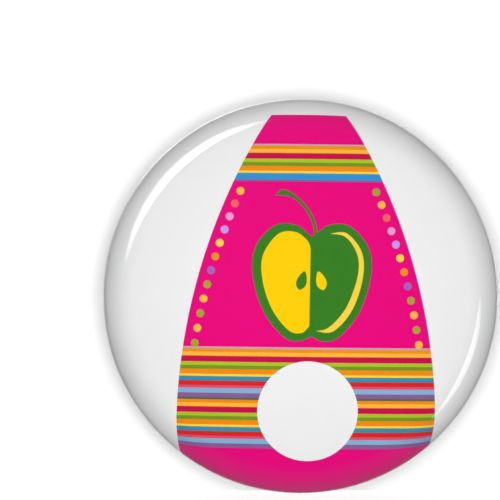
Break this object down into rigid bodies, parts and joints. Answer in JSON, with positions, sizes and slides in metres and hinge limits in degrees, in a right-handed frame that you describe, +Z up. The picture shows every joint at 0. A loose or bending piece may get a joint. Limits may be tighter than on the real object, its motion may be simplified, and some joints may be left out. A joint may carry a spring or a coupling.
{
  "type": "button badge",
  "caption": "Round pin-back button badge: domed front with printed paper under clear film, white plastic back and a hinged steel needle that hooks under a curled catch.",
  "frame": {"origin": "centre of the badge in the plane of the plastic land that it rests on", "axes": "upright as worn: +Z up the picture, +Y out of the back, the domed front towards -Y, +X to the right seen from the front, where the needle's point and catch are"},
  "size_m": [0.058, 0.0067, 0.058],
  "materials": {
    "film": "clear, glossy",
    "printed_paper": "coated white stock, printed in bright inks",
    "tinplate": "tin-plated sheet steel, satin",
    "white_plastic": "moulded white polystyrene, semi-gloss",
    "sheet_steel": "nickel-plated strip",
    "wire_steel": "nickel-plated wire, polished point"
  },
  "bodies": {
    "badge_body": {"clear_film": "film", "artwork_disc": "printed_paper", "front_shell": "tinplate", "back_plate": "white_plastic", "pin_base": "sheet_steel"},
    "hinge_rivet": {"hinge_rivet": "sheet_steel"},
    "needle": {"needle": "wire_steel"}
  },
  "joints": [
    {"name": "needle_lift", "type": "hinge", "parent": "badge_body", "child": "hinge_rivet", "pos_m": [-0.0089, -0.00268, 0.0114], "axis": [0, 0, 1], "range_deg": [0, 55]},
    {"name": "needle_swing", "type": "hinge", "parent": "hinge_rivet", "child": "needle", "pos_m": [-0.0089, -0.00268, 0.0114], "axis": [0, 0.9848, -0.1736], "range_deg": [0, 9]}
  ]
}
